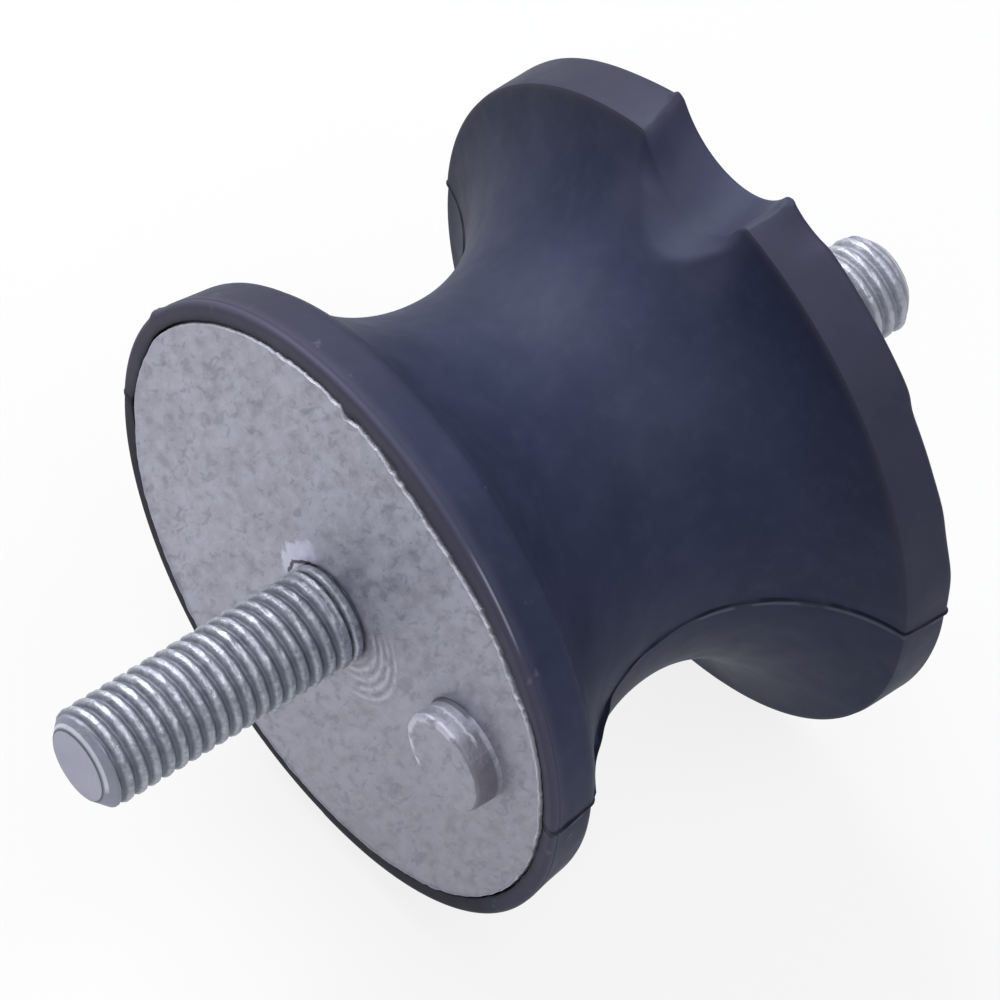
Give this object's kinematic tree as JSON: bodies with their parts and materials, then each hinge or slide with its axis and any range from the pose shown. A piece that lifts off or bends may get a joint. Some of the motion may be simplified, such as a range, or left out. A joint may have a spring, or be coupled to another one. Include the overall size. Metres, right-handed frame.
{
  "type": "engine mount",
  "caption": "Waisted rubber engine mount bonded between two round steel plates, with a threaded stud on each side and a locating pip beside the long stud.",
  "frame": {"origin": "centre of the front plate's outer face, where the long stud leaves it", "axes": "+X from the front plate to the rear plate along the axis of both studs, -Y from the axis to the locating pip, +Z from the axis to the notch in the rear rim"},
  "size_m": [0.0934, 0.0668, 0.066],
  "materials": {
    "rubber": "satin",
    "zinc": "satin"
  },
  "bodies": {
    "root": {"rubber_body": "rubber", "front_plate": "zinc", "front_stud": "zinc", "rear_plate": "zinc", "rear_stud": "zinc"}
  },
  "joints": []
}
